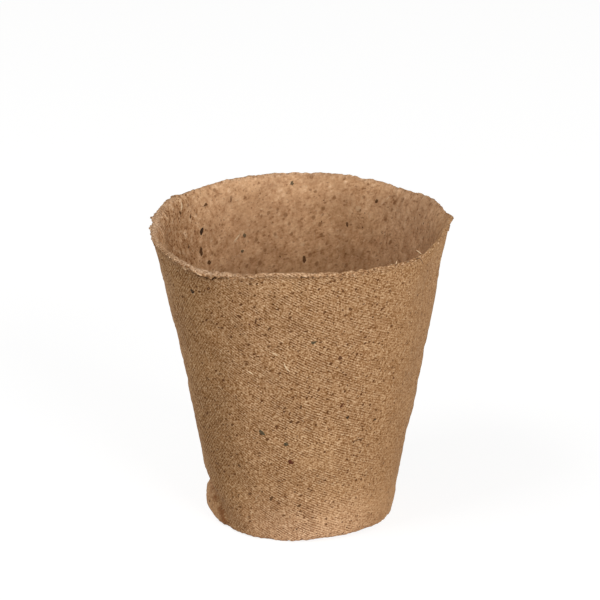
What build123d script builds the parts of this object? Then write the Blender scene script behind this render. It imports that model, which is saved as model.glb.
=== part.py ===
from build123d import *
import math
import os

# Peat pot: a thin tapered cup pressed in one piece from peat and paper pulp.
# The wall warped as it dried and a lump of pulp squeezed out at the heel.
# Bits of bark and straw lie pressed into both faces of the wall.
# Millimetres, +Z up, on the ground. The origin is the middle of the warped pot.
# Bearings are degrees about +Z from +X, seen from the mould's own axis.

os.makedirs("parts", exist_ok=True)

# The cup as the mould shapes it, measured outside
RIM_DIAMETER = 76.8
FOOT_DIAMETER = 48.9
HEIGHT = 81.5
WALL = 1.5
FLOOR = 1.9
HEEL_RADIUS = 2.6
INNER_HEEL_RADIUS = 3.4

# The lip, turned out a little where the wet sheet ends
LIP_FLARE = 0.8
LIP_DEPTH = 2.8

# Drain hole punched through the floor
DRAIN_DIAMETER = 8.0

# The mould's axis, from the middle of the warped pot
AXIS_X = -0.6
AXIS_Y = -0.4

# Flats and corners that dried into the wall: bearing, half width, then the
# share of WARP at the rim and at the foot
WARP = 1.1
WARP_SHARES = (
    (-84, 46, -1.0, -0.5),
    (-140, 34, 0.7, 0.65),
    (-42, 28, 1.0, 0.25),
    (-3, 16, 0.85, -0.35),
    (33, 24, -0.3, 0.0),
    (92, 30, -0.2, 0.0),
    (153, 18, 0.35, 0.0),
    (174, 11, -0.25, 0.15),
)

# Crests and dips of the rim: bearing, half width, share of RIM_RISE
RIM_RISE = 1.0
RISE_SHARES = (
    (-123, 26, -1.6),
    (-98, 31, 0.5),
    (-32, 23, -0.45),
    (4, 44, 1.0),
    (48, 25, -0.4),
    (104, 41, 0.4),
    (170, 19, -1.2),
)

# Bow of the wall between foot and rim: bearing, half width, share of BOW
BOW = 0.9
BOW_LEAN = 1.3
BOW_SHARES = (
    (180, 40, -1.0),
    (0, 40, 0.65),
)

# Lump of pulp that stands out of the heel, and the dent above it
LUMP_BEARING = -177
LUMP_HALF_WIDTH = 40
LUMP_OUT = 1.35
LUMP_MIDDLE = 3.2
LUMP_REACH = 3.6
DENT_IN = 0.7
DENT_MIDDLE = 7.6
DENT_REACH = 4.4

# Bark chips, pressed nearly flush into the wall
CHIP_SIZE = 1.0
CHIP_DEPTH = 0.5
CHIP_PROUD = 0.12
CHIP_OUTLINE_SHARES = ((-0.5, -0.1), (-0.2, -0.5), (0.3, -0.4), (0.5, 0.1), (0.15, 0.5), (-0.35, 0.35))

# Where a chip lies: bearing, share of HEIGHT, length and width as shares of
# CHIP_SIZE, and tilt in degrees
OUTER_CHIP_SHARES = (
    (-136, 0.90, 1.0, 0.8, 20),
    (-84, 0.757, 1.3, 0.6, 10),
    (-72, 0.692, 1.0, 0.75, -20),
    (-108, 0.834, 1.0, 0.8, 70),
    (-110, 0.42, 1.8, 1.0, -25),
    (-98, 0.381, 1.1, 1.0, 0),
    (-96, 0.313, 1.35, 1.2, -60),
    (-95, 0.466, 0.95, 0.65, 20),
    (-70, 0.515, 0.8, 0.55, -45),
    (-60, 0.371, 2.1, 0.35, -5),
    (-51, 0.433, 0.8, 0.65, 10),
    (-125, 0.278, 1.0, 0.65, -20),
    (-108, 0.17, 1.5, 0.7, 60),
    (-92, 0.146, 1.05, 0.7, 30),
    (-163, 0.06, 0.7, 0.65, 0),
    (20, 0.80, 1.4, 0.8, -50),
    (41, 0.34, 1.2, 0.9, 15),
    (88, 0.22, 1.6, 0.7, -15),
    (128, 0.45, 1.5, 0.6, -70),
    (149, 0.86, 1.0, 0.7, 5),
)
INNER_CHIP_SHARES = (
    (138, 0.871, 1.9, 0.75, 80),
    (140, 0.804, 2.1, 0.9, 80),
    (115, 0.815, 1.5, 1.2, 60),
    (87, 0.718, 2.3, 1.2, 90),
    (92, 0.96, 1.0, 0.9, 0),
    (133, 0.94, 1.0, 0.85, 0),
    (136, 0.758, 1.4, 0.7, 100),
    (148, 0.945, 1.3, 0.6, 60),
    (53, 0.94, 1.3, 0.7, -60),
    (67, 0.843, 1.3, 0.6, 90),
    (-150, 0.66, 1.3, 0.8, 25),
    (-61, 0.73, 1.5, 0.7, -30),
)

# Straws, pressed into the wall: bearing, share of HEIGHT, share of
# STRAW_LENGTH, and tilt in degrees
STRAW_LENGTH = 3.2
STRAW_WIDTH = 0.35
STRAW_DEPTH = 0.3
STRAW_PROUD = 0.1
STRAW_OUTLINE_SHARES = ((-0.5, -0.5), (0.5, -0.4), (0.5, 0.4), (-0.5, 0.5))
OUTER_STRAW_SHARES = (
    (-96, 0.668, 1.0, -35),
    (-101, 0.715, 0.65, -20),
    (-113, 0.64, 0.8, 30),
    (30, 0.55, 0.9, 60),
)
INNER_STRAW_SHARES = (
    (145, 0.93, 1.1, 65),
    (118, 0.79, 1.0, 60),
    (-80, 0.55, 0.9, 40),
)

# How finely the curved skins are drawn
SKIN_POINTS = 72
WALL_SECTIONS = 14
LUMP_SECTIONS = 6
LIP_SECTIONS = 7
HEEL_SECTIONS = 5
RIM_GRID = 33

# How far a cutting solid runs past what it cuts
OVERRUN = 4.0

RIM_RADIUS = RIM_DIAMETER / 2
FOOT_RADIUS = FOOT_DIAMETER / 2
SLANT = math.atan2(RIM_RADIUS - FOOT_RADIUS, HEIGHT)
LEVEL_WALL = WALL / math.cos(SLANT)


def bell(away, reach):
    """One at the middle, falling to nothing at the reach along a cosine."""
    if abs(away) >= reach:
        return 0.0
    return (1 + math.cos(math.pi * away / reach)) / 2


def turned(bearing, middle):
    """Degrees from the middle bearing to this one, the short way round."""
    return (bearing - middle + 180) % 360 - 180


def swell(bearing, rows, column):
    """Sum of the bells of a table at one bearing, with the shares of one column."""
    return sum(row[column] * bell(turned(bearing, row[0]), row[1]) for row in rows)


def rim_height(bearing):
    """Height of the edge of the rim."""
    return HEIGHT + RIM_RISE * swell(bearing, RISE_SHARES, 2)


def wall_radius(bearing, height):
    """Outside of the wall from the mould's axis, before the heel is rounded.

    A straight taper, with the warp blended from foot to rim, the bow between
    them, and the lip turned out along a parabola.
    """
    up = height / HEIGHT
    taper = FOOT_RADIUS + (RIM_RADIUS - FOOT_RADIUS) * up
    warp = WARP * (swell(bearing, WARP_SHARES, 2) * up + swell(bearing, WARP_SHARES, 3) * (1 - up))
    bow = BOW * math.sin(math.pi * min(up, 1) ** BOW_LEAN) * swell(bearing, BOW_SHARES, 2)
    into_lip = (height - rim_height(bearing) + LIP_DEPTH) / LIP_DEPTH
    return taper + warp + bow + LIP_FLARE * max(into_lip, 0) ** 2


def heel_lump(bearing, height):
    """How far the pulp stands out at the heel, or is dented in above it."""
    out = LUMP_OUT * bell(height - LUMP_MIDDLE, LUMP_REACH)
    dent = DENT_IN * bell(height - DENT_MIDDLE, DENT_REACH)
    return (out - dent) * bell(turned(bearing, LUMP_BEARING), LUMP_HALF_WIDTH)


def rounded_in(height, radius):
    """How far a quarter round has drawn in at this height above its foot."""
    below = max(radius - height, 0)
    return radius - math.sqrt(max(radius**2 - below**2, 0))


def outer_radius(bearing, height):
    """Outside of the pot, with its lump, rounded in to the foot."""
    return wall_radius(bearing, height) + heel_lump(bearing, height) - rounded_in(height, HEEL_RADIUS)


def inner_radius(bearing, height):
    """Inside of the pot: one wall in from the outside, rounded in to the floor."""
    return wall_radius(bearing, height) - LEVEL_WALL - rounded_in(height - FLOOR, INNER_HEEL_RADIUS)


def place(bearing, height, radius):
    """Point at a radius from the mould's axis."""
    turn = math.radians(bearing)
    return (AXIS_X + radius * math.cos(turn), AXIS_Y + radius * math.sin(turn), height)


def section(height, radius_at):
    """Closed smooth curve at one height, through points at even bearings."""
    bearings = [360 * step / SKIN_POINTS for step in range(SKIN_POINTS)]
    points = [place(bearing, height, radius_at(bearing, height)) for bearing in bearings]
    even = [step / SKIN_POINTS for step in range(SKIN_POINTS + 1)]
    return Wire([Edge.make_spline(points, periodic=True, parameters=even)])


def heel_heights(bottom, radius):
    """Heights up a quarter round, close together at its foot."""
    turns = [math.pi / 2 * step / HEEL_SECTIONS for step in range(HEEL_SECTIONS)]
    return [bottom + radius * (1 - math.cos(turn)) for turn in turns]


def between(low, high, count):
    """Even heights from low up to but not at high."""
    return [low + (high - low) * step / count for step in range(count)]


def skin(bottom, heel, radius_at):
    """Solid inside one skin, from its flat bottom to just past the rim."""
    dent_top = DENT_MIDDLE + DENT_REACH
    crest = HEIGHT + RIM_RISE
    top = crest + LIP_DEPTH / LIP_SECTIONS
    lip_start = crest - 2 * LIP_DEPTH
    heights = heel_heights(bottom, heel)
    heights += between(bottom + heel, dent_top, LUMP_SECTIONS)
    heights += between(dent_top, lip_start, WALL_SECTIONS)
    heights += between(lip_start, top, LIP_SECTIONS) + [top]
    return Solid.make_loft([section(height, radius_at) for height in heights])


def rim_cutter():
    """Block whose wavy underside is the edge of the rim.

    The rise is the rim's own at the rim, and fades to level at the middle
    with the square of the distance from it.
    """
    reach = RIM_RADIUS + WARP + LIP_FLARE + OVERRUN
    rows = []
    for row in range(RIM_GRID):
        line = []
        for column in range(RIM_GRID):
            x = reach * (2 * column / (RIM_GRID - 1) - 1)
            y = reach * (2 * row / (RIM_GRID - 1) - 1)
            near_rim = min((x * x + y * y) / RIM_RADIUS**2, 1)
            rise = rim_height(math.degrees(math.atan2(y, x))) - HEIGHT
            line.append((AXIS_X + x, AXIS_Y + y, HEIGHT + rise * near_rim))
        rows.append(line)
    underside = Face.make_surface_from_array_of_points(rows)
    return extrude(underside, amount=OVERRUN + 2 * LIP_DEPTH, dir=(0, 0, 1))


def plain_shell():
    """The cup: outer skin, hollowed, trimmed to its rim and drained."""
    outside = skin(0, HEEL_RADIUS, outer_radius)
    inside = skin(FLOOR, INNER_HEEL_RADIUS, inner_radius)
    drain = Pos(AXIS_X, AXIS_Y, FLOOR / 2) * Cylinder(DRAIN_DIAMETER / 2, FLOOR + OVERRUN)
    return outside - inside - rim_cutter() - drain


def flake(outline, facing, row, length, width, depth, proud):
    """Flat bit of bark or straw, pressed into the outer or inner face of the wall.

    Facing is 1 on the outer face and -1 on the inner one. The flake's flat
    lies along the wall, turned by its tilt.
    """
    bearing, height_share, tilt = row[0], row[1], row[-1]
    height = HEIGHT * height_share
    radius = (outer_radius if facing > 0 else inner_radius)(bearing, height)
    turn = math.radians(bearing)
    out = Vector(math.cos(turn) * math.cos(SLANT), math.sin(turn) * math.cos(SLANT), -math.sin(SLANT))
    along = Vector(-math.sin(turn), math.cos(turn), 0).rotate(Axis((0, 0, 0), out), tilt)
    seat = Vector(*place(bearing, height, radius)) - out * facing * depth
    flat = Plane(origin=seat, x_dir=along, z_dir=out * facing)
    corners = [(length * across, width * up) for across, up in outline]
    return extrude(flat * Polygon(*corners, align=None), amount=depth + proud).solid()


def chips(facing, rows):
    """Bark chips of one face."""
    made = []
    for row in rows:
        length = CHIP_SIZE * row[2]
        width = CHIP_SIZE * row[3]
        made.append(flake(CHIP_OUTLINE_SHARES, facing, row, length, width, CHIP_DEPTH, CHIP_PROUD))
    return made


def straws(facing, rows):
    """Straws of one face."""
    made = []
    for row in rows:
        length = STRAW_LENGTH * row[2]
        made.append(flake(STRAW_OUTLINE_SHARES, facing, row, length, STRAW_WIDTH, STRAW_DEPTH, STRAW_PROUD))
    return made


bark_chips = chips(1, OUTER_CHIP_SHARES) + chips(-1, INNER_CHIP_SHARES)
straw_fibres = straws(1, OUTER_STRAW_SHARES) + straws(-1, INNER_STRAW_SHARES)

# Each chip and straw sits in the pocket that it pressed into the pulp
pot_shell = plain_shell().cut(*bark_chips, *straw_fibres)

export_step(pot_shell, "parts/pot_shell.step")
export_step(Compound(bark_chips), "parts/bark_chips.step")
export_step(Compound(straw_fibres), "parts/straw_fibres.step")

box = pot_shell.bounding_box()
print("pot_shell: from", box.min, "to", box.max, "volume", round(pot_shell.volume))
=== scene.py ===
import math

import bpy
import numpy as np
from mathutils import Matrix, Vector


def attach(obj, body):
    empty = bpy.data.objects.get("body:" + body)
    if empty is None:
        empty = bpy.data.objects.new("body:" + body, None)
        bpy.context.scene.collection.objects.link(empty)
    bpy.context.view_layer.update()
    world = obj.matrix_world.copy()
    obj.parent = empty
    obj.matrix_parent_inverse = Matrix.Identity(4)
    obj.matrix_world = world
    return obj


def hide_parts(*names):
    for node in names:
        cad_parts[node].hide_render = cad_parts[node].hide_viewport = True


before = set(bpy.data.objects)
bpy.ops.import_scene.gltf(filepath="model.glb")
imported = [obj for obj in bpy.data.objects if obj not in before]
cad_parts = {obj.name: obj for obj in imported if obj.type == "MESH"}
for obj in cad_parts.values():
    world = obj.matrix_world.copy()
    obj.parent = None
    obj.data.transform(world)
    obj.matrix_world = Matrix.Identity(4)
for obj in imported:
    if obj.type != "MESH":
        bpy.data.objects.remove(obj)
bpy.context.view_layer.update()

# Pot shell: the whole cup, pressed from one sheet of wet peat and paper pulp.
# The sheet is sucked on to a wire-mesh mould, so its outside takes the print
# of the mesh, its inside stays felted, and its lip is left thick and torn.
RIM_RADIUS = 0.0384
FOOT_RADIUS = 0.02445
HEIGHT = 0.0815
WALL = 0.0015
FLOOR = 0.0019
HEEL_RADIUS = 0.0026
INNER_HEEL_RADIUS = 0.0034
LIP_FLARE = 0.0008
LIP_DEPTH = 0.0028
LIP_OVERRUN = 1.3
DRAIN_RADIUS = 0.004
MOULD_AXIS = np.array([-0.0006, -0.0004, 0.0])
SLANT = math.atan2(RIM_RADIUS - FOOT_RADIUS, HEIGHT)
LEVEL_WALL = WALL / math.cos(SLANT)

# Where the heel is pressed sharper or left rounder: bearing, half width, share
# of HEEL_RADIUS; and where the lip turns out less, in shares of LIP_FLARE
HEEL_SHARES = ((-110, 30, -0.7), (-22, 34, -0.8), (-140, 24, -0.4), (-165, 14, 0.2), (70, 40, -0.4))
FLARE_SHARES = ((-177, 14, -0.8), (120, 30, -0.3))

# Flats and corners of the wall: bearing, half width, share of WARP at rim and foot
WARP = 0.0011
WARP_SHARES = (
    (-84, 46, -1.0, -0.5),
    (-140, 34, 0.7, 0.65),
    (-42, 28, 1.0, 0.25),
    (-3, 16, 0.85, -0.35),
    (33, 24, -0.3, 0.0),
    (92, 30, -0.2, 0.0),
    (153, 18, 0.35, 0.0),
    (174, 11, -0.25, 0.15),
)

# Crests and dips of the rim: bearing, half width, share of RIM_RISE
RIM_RISE = 0.001
RISE_SHARES = (
    (-123, 26, -1.6),
    (-98, 31, 0.5),
    (-32, 23, -0.45),
    (4, 44, 1.0),
    (48, 25, -0.4),
    (104, 41, 0.1),
    (170, 19, -1.2),
    (-119, 17, 0.65),
    (-92, 18, 0.25),
    (-60, 30, -0.33),
)

# Bow of the wall between foot and rim: bearing, half width, share of BOW
BOW = 0.0009
BOW_LEAN = 1.3
BOW_SHARES = ((180, 40, -1.0), (0, 40, 0.65))

# Lump of pulp at the heel, and the fold where it meets the wall
LUMP_BEARING = -173
LUMP_HALF_WIDTH = 28
LUMP_OUT = 0.0012
LUMP_MIDDLE = 0.0026
LUMP_REACH = 0.0056
LUMP_ROUNDNESS = 0.5
DENT_IN = 0.0024
DENT_SPREAD = 3.2
DENT_HALF_WIDTH = 52

# Torn edge: nicks and humps as bearing, half width, share of EDGE_TEAR up or down
EDGE_TEAR = 0.0006
TEAR_SHARES = (
    (62, 3, -0.5),
    (55, 5, 0.15),
    (44, 4, -0.4),
    (36, 8, -0.4),
    (147, 5, 0.4),
    (168, 5, 0.7),
    (5, 4, -0.3),
    (0, 3, 0.3),
    (-6, 3, -0.5),
    (-78, 2, 0.5),
    (-74, 2, -0.4),
    (-70, 2, 0.5),
    (-110, 4, -0.25),
    (-50, 3, 0.4),
    (-38, 3, 0.5),
    (84, 3, -0.3),
)

# Nibs of pulp left standing out of the lip: bearing, half width, share of NIB_OUT
NIB_OUT = 0.0008
NIB_DEEP = 0.003
NIB_SHARES = ((166, 6, 1.0), (-1, 4, 0.8), (146, 5, 0.4))

# How frayed the edge is round the rim: bearing, half width, share of the fraying
FRAY_EVERYWHERE = 0.2
FRAY_SHARES = ((-62, 34, 1.4), (175, 22, 0.8), (-10, 22, 0.6), (-125, 38, 1.1))
FRAY_LAYERS = ((0.0027, 0.00009), (0.0015, 0.00008))

# Knotted bead rolled out along the lip, most of all at the front left, and the
# cracks that wander along under it
BEAD_OUT = 0.00034
BEAD_BELOW = 0.0007
BEAD_REACH = 0.0009
BEAD_SHARES = ((-130, 14, 1.0), (-112, 14, 0.5), (-94, 14, 0.7), (180, 40, 0.3), (-62, 30, 0.1))
BEAD_KNOTS = 0.45
BEAD_KNOT_PITCH = 0.0034
CRACK_IN = 0.0006
CRACK_BELOW = 0.00095
CRACK_WANDER = 0.0003
CRACK_WANDER_PITCH = 0.0048
CRACK_REACH = 0.0004
CRACK_SHARES = ((-127, 16, 1.4), (-87, 9, 1.1), (-104, 7, 0.6), (-64, 16, 0.2))

# How much thicker or thinner the wall grows in the last stretch under its edge:
# bearing, half width, share of the wall
LIP_TAPER = 0.0045
THIN_EVERYWHERE = -0.38
THICK_SHARES = ((180, 55, 0.5), (-130, 26, 0.5), (-20, 55, -0.25))

# Unevenness of the dried pulp: the pitch of its swellings and how high they stand.
# The lip and the foot crumble besides, over a short reach from their edges
OUTER_UNEVENNESS = ((0.014, 0.00016), (0.005, 0.00006), (0.0019, 0.00003))
INNER_UNEVENNESS = ((0.014, 0.00014), (0.006, 0.00007), (0.0024, 0.00003))
CRUMB_PITCH = 0.0014
CRUMB_RISE = 0.0001
CRUMBLY_REACH = 0.002
FOOT_CRUMBLE = 1.5

# The noise behind all unevenness: how many waves it adds up, and how long the
# shortest and the longest are, in pitches. The last number in a call that draws
# at random, here and below, is the seed of its draws
NOISE_WAVES = 48
SHORTEST_WAVE, LONGEST_WAVE = 0.7, 1.5


def bell(away, reach):
    """One at the middle, falling to nothing at the reach along a cosine."""
    inside = np.minimum(np.abs(away) / reach, 1)
    return (1 + np.cos(np.pi * inside)) / 2


def turned(bearing, middle):
    """Degrees from the middle bearing to this one, the short way round."""
    return (bearing - middle + 180) % 360 - 180


def swell(bearing, rows, column=2):
    """Sum of the bells of a table at each bearing, with the shares of one column."""
    return sum(row[column] * bell(turned(bearing, row[0]), row[1]) for row in rows)


def lumpy(points, pitch, seed):
    """Seamless noise: plane waves in random directions, added up.

    Each wave is about one pitch long and has a random phase, and the sum is
    scaled to stray about one from nothing.
    """
    draw = np.random.default_rng(seed)
    aim = draw.normal(size=(NOISE_WAVES, 3))
    aim /= np.linalg.norm(aim, axis=1, keepdims=True)
    aim *= 2 * np.pi / (pitch * draw.uniform(SHORTEST_WAVE, LONGEST_WAVE, (NOISE_WAVES, 1)))
    phase = draw.uniform(0, 2 * np.pi, NOISE_WAVES)
    return np.cos(points @ aim.T + phase).sum(-1) * math.sqrt(2 / NOISE_WAVES)


def uneven(points, layers, seed):
    """Height of the dried pulp over a smooth wall: its layers of noise added up."""
    return sum(
        rise * lumpy(points, pitch, seed + step) for step, (pitch, rise) in enumerate(layers)
    )


def outward(bearing):
    """Level direction out of the pot at each bearing."""
    turn = np.radians(bearing)
    return np.stack([np.cos(turn), np.sin(turn), np.zeros_like(turn)], -1)


def at_bearing(bearing, radius, height):
    """Points at a radius from the mould's axis, as x, y and z."""
    bearing, radius, height = np.broadcast_arrays(bearing, radius, height)
    up = np.array([0, 0, 1.0])
    return MOULD_AXIS + outward(bearing) * radius[..., None] + up * height[..., None]


def rim_height(bearing):
    """Height of the rim before it is torn."""
    return HEIGHT + RIM_RISE * swell(bearing, RISE_SHARES)


def torn_edge(bearing):
    """Height of the torn edge: the rim with its nicks, nibs and fraying."""
    rim_line = at_bearing(bearing, RIM_RADIUS, HEIGHT)
    fray = FRAY_EVERYWHERE + swell(bearing, FRAY_SHARES)
    torn = EDGE_TEAR * swell(bearing, TEAR_SHARES) + fray * uneven(rim_line, FRAY_LAYERS, 12)
    return rim_height(bearing) + torn


def wall_radius(bearing, height):
    """Outside of the wall: straight taper, warp, bow and a parabola at the lip.

    The parabola runs on past the rim by a share of LIP_DEPTH, for the humps of
    the torn edge.
    """
    up = height / HEIGHT
    taper = FOOT_RADIUS + (RIM_RADIUS - FOOT_RADIUS) * up
    warp = WARP * (swell(bearing, WARP_SHARES, 2) * up + swell(bearing, WARP_SHARES, 3) * (1 - up))
    bow = BOW * np.sin(np.pi * np.clip(up, 0, 1) ** BOW_LEAN) * swell(bearing, BOW_SHARES)
    into_lip = np.clip((height - rim_height(bearing) + LIP_DEPTH) / LIP_DEPTH, 0, LIP_OVERRUN)
    return taper + warp + bow + LIP_FLARE * (1 + swell(bearing, FLARE_SHARES)) * into_lip**2


def into_lump(bearing, height):
    """One at the middle of the heel lump, nothing along its oval edge, and less outside."""
    across = turned(bearing, LUMP_BEARING) / LUMP_HALF_WIDTH
    along = (height - LUMP_MIDDLE) / LUMP_REACH
    return 1 - across**2 - along**2


def lump_dome(bearing, height):
    """Heel lump from nothing to one: the root of a paraboloid, so its shoulders are round."""
    return np.clip(into_lump(bearing, height), 0, 1) ** LUMP_ROUNDNESS


def fold_depth(bearing, height):
    """Fold over the lump, nothing to one: a bell, deepest at its edge, out at foot and sides."""
    outside = np.minimum(into_lump(bearing, height), 0)
    fold = bell(outside, DENT_SPREAD) * np.clip(height / LUMP_MIDDLE, 0, 1)
    fold = fold * bell(turned(bearing, LUMP_BEARING), DENT_HALF_WIDTH)
    return fold * (1 - lump_dome(bearing, height))


def rounded_in(height, radius):
    """How far a quarter round has drawn in at this height above its foot."""
    below = np.clip(radius - height, 0, radius)
    return radius - np.sqrt(radius**2 - below**2)


def crack_line(bearing):
    """How far below the torn edge the crack runs, wandering a little."""
    rim_line = at_bearing(bearing, RIM_RADIUS, HEIGHT)
    return CRACK_BELOW + CRACK_WANDER * lumpy(rim_line, CRACK_WANDER_PITCH, 14)


def outer_skin(bearing, height):
    """Outside of the pot: wall, heel, lump and fold, then the bead, nibs and cracks of its lip.

    Noise is added all over, and more of it crumbles the edges of lip and foot.
    """
    heel = HEEL_RADIUS * (1 + swell(bearing, HEEL_SHARES))
    smooth = wall_radius(bearing, height) - rounded_in(height, heel)
    smooth = smooth + LUMP_OUT * lump_dome(bearing, height) - DENT_IN * fold_depth(bearing, height)
    below = torn_edge(bearing) - height
    knotted = 1 + BEAD_KNOTS * lumpy(at_bearing(bearing, RIM_RADIUS, HEIGHT), BEAD_KNOT_PITCH, 16)
    bead = BEAD_OUT * knotted * swell(bearing, BEAD_SHARES) * bell(below - BEAD_BELOW, BEAD_REACH)
    nib = NIB_OUT * swell(bearing, NIB_SHARES) * np.clip(1 - below / NIB_DEEP, 0, 1)
    crack = CRACK_IN * swell(bearing, CRACK_SHARES) * bell(below - crack_line(bearing), CRACK_REACH)
    base = at_bearing(bearing, smooth, height)
    at_lip = np.clip(1 - below / CRUMBLY_REACH, 0, 1)
    at_foot = FOOT_CRUMBLE * np.clip(1 - height / CRUMBLY_REACH, 0, 1)
    crumbly = CRUMB_RISE * lumpy(base, CRUMB_PITCH, 15) * (at_lip + at_foot)
    out = bead + nib - crack + crumbly + uneven(base, OUTER_UNEVENNESS, 1)
    return base + outward(bearing) * out[..., None]


def inner_skin(bearing, height):
    """Inside of the pot: one wall in from the outside, and thinner or thicker at the lip."""
    near_edge = np.clip(1 - (torn_edge(bearing) - height) / LIP_TAPER, 0, 1)
    thicker = THIN_EVERYWHERE + swell(bearing, THICK_SHARES)
    smooth = wall_radius(bearing, height) - LEVEL_WALL * (1 + thicker * near_edge)
    smooth = smooth - rounded_in(height - FLOOR, INNER_HEEL_RADIUS)
    smooth = smooth - DENT_IN * fold_depth(bearing, height)
    base = at_bearing(bearing, smooth, height)
    crumbly = CRUMB_RISE * lumpy(base, CRUMB_PITCH, 17) * near_edge
    return base + outward(bearing) * (crumbly + uneven(base, INNER_UNEVENNESS, 5))[..., None]


# Rows of the skin, from the heel up the outside, over the lip and down to the
# foot. Those of the outer lip crowd a little to its edge
COLUMNS = 520
HEEL_ROWS, WALL_ROWS, LIP_ROWS, CAP_ROWS = 9, 68, 22, 7
INNER_LIP_ROWS, INNER_ROWS, INNER_HEEL_ROWS = 9, 45, 8
FLOOR_ROWS, DRAIN_ROWS, FOOT_ROWS = 7, 4, 8
SEAM_BEARING = 90
LIP_BAND = 0.0045
CROWD_TO_EDGE = 0.85


def steps(count, first=0.0, last=1.0):
    """A column of even steps from first up to but not at last."""
    return np.linspace(first, last, count, endpoint=False)[:, None]


bearing = SEAM_BEARING + 360 * np.arange(COLUMNS)[None, :] / COLUMNS
edge = torn_edge(bearing)
lip_start = edge - LIP_BAND
outer_height = np.concatenate([
    HEEL_RADIUS * (1 - np.cos(steps(HEEL_ROWS, 0, np.pi / 2))) + 0 * edge,
    HEEL_RADIUS + (lip_start - HEEL_RADIUS) * steps(WALL_ROWS),
    lip_start + LIP_BAND * steps(LIP_ROWS) ** CROWD_TO_EDGE,
])
outside = outer_skin(bearing, outer_height)

inner_heel_top = FLOOR + INNER_HEEL_RADIUS
round_heel = np.linspace(np.pi / 2, 0, INNER_HEEL_ROWS)[:, None]
inner_height = np.concatenate([
    lip_start + LIP_BAND * steps(INNER_LIP_ROWS, 1, 0),
    inner_heel_top + (lip_start - inner_heel_top) * steps(INNER_ROWS, 1, 0),
    FLOOR + INNER_HEEL_RADIUS * (1 - np.cos(round_heel)) + 0 * edge,
])
inside = inner_skin(bearing, inner_height)

# Torn top between the two skins: a low arch that swells and dips by a share of
# its rise, with fine unevenness on it
ARCH_RISE = 0.00035
ARCH_SWELL, ARCH_SWELL_PITCH = 0.25, 0.0022
ARCH_UNEVENNESS = ((0.0011, 0.00005),)
ARCH_FULLNESS = 0.7
arch = np.linspace(0, np.pi, CAP_ROWS + 2)[1:-1, None]
cap = outside[-1] + (inside[0] - outside[-1]) * (1 - np.cos(arch))[..., None] / 2
arch_rise = ARCH_RISE * (1 + ARCH_SWELL * lumpy(cap, ARCH_SWELL_PITCH, 18))
ragged_top = arch_rise + uneven(cap, ARCH_UNEVENNESS, 19)
cap[..., 2] += ragged_top * np.sin(arch) ** ARCH_FULLNESS

# Floor inside, the drain hole punched through it, which strays from round by a
# share of its radius, and the foot
DRAIN_STRAY, DRAIN_STRAY_PITCH = 0.03, 0.004
FLOOR_UNEVENNESS = ((0.004, 0.00008),)
FOOT_UNEVENNESS = ((0.005, 0.00005),)
round_drain = at_bearing(bearing, DRAIN_RADIUS, 0)
drain_wall = DRAIN_RADIUS * (1 + DRAIN_STRAY * lumpy(round_drain, DRAIN_STRAY_PITCH, 20))
drain_edge = at_bearing(bearing, drain_wall, FLOOR)
across = np.linspace(0, 1, FLOOR_ROWS + 1)[1:, None, None]
floor_inside = inside[-1] + (drain_edge - inside[-1]) * across
floor_inside[:-1, :, 2] += uneven(floor_inside[:-1], FLOOR_UNEVENNESS, 21)
down = np.linspace(0, 1, DRAIN_ROWS + 1)[1:, None, None]
drain = drain_edge - down * np.array([0, 0, FLOOR])
back_out = np.linspace(0, 1, FOOT_ROWS + 1)[1:-1, None, None]
foot = drain[-1] + (outside[0] - drain[-1]) * back_out
foot[..., 2] = np.clip(uneven(foot, FOOT_UNEVENNESS, 22), 0, None)

skin = np.concatenate([outside, cap, inside, floor_inside, drain, foot])
skin[..., 2] = np.maximum(skin[..., 2], 0)


def faced_mesh(name, points, quads, triangles=()):
    """Smooth mesh from points, four-sided faces and three-sided faces."""
    corners = np.concatenate([np.ravel(quads), np.ravel(triangles)]).astype(np.int32)
    sizes = np.concatenate([np.full(len(quads), 4), np.full(len(triangles), 3)])
    mesh = bpy.data.meshes.new(name)
    mesh.vertices.add(len(points))
    mesh.vertices.foreach_set("co", points.astype(np.float32).ravel())
    mesh.loops.add(len(corners))
    mesh.loops.foreach_set("vertex_index", corners)
    mesh.polygons.add(len(sizes))
    mesh.polygons.foreach_set("loop_start", (np.cumsum(sizes) - sizes).astype(np.int32))
    mesh.update(calc_edges=True)
    mesh.shade_smooth()
    return mesh


def ring_mesh(name, points):
    """Mesh of a grid of points that closes on itself both ways, one face to a cell."""
    index = np.arange(points.shape[0] * points.shape[1]).reshape(points.shape[:2])
    above = np.roll(index, -1, 0)
    cells = np.stack([index, np.roll(index, -1, 1), np.roll(above, -1, 1), above], -1)
    return faced_mesh(name, points.reshape(-1, 3), cells.reshape(-1, 4))


def carry(mesh, name, values):
    """Keep one number for each point of the mesh, for its finish to read."""
    kept = mesh.attributes.new(name, "FLOAT", "POINT")
    kept.data.foreach_set("value", np.ravel(values).astype(np.float32))


def show(mesh):
    """Put a mesh in the scene as a piece of the same name."""
    piece = bpy.data.objects.new(mesh.name, mesh)
    bpy.context.scene.collection.objects.link(piece)
    return piece


shell_mesh = ring_mesh("fibre_shell", skin)

# How clearly the wires of the mould print, as bearing, half width and share
FAINTEST_PRINT = 0.15
FIRST_WIRE_SHARES = ((-89, 63, 0.95), (20, 40, 0.3), (100, 60, 0.6))
SECOND_WIRE_SHARES = ((-150, 38, 0.65), (-95, 40, 0.1), (60, 60, 0.35))

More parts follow.
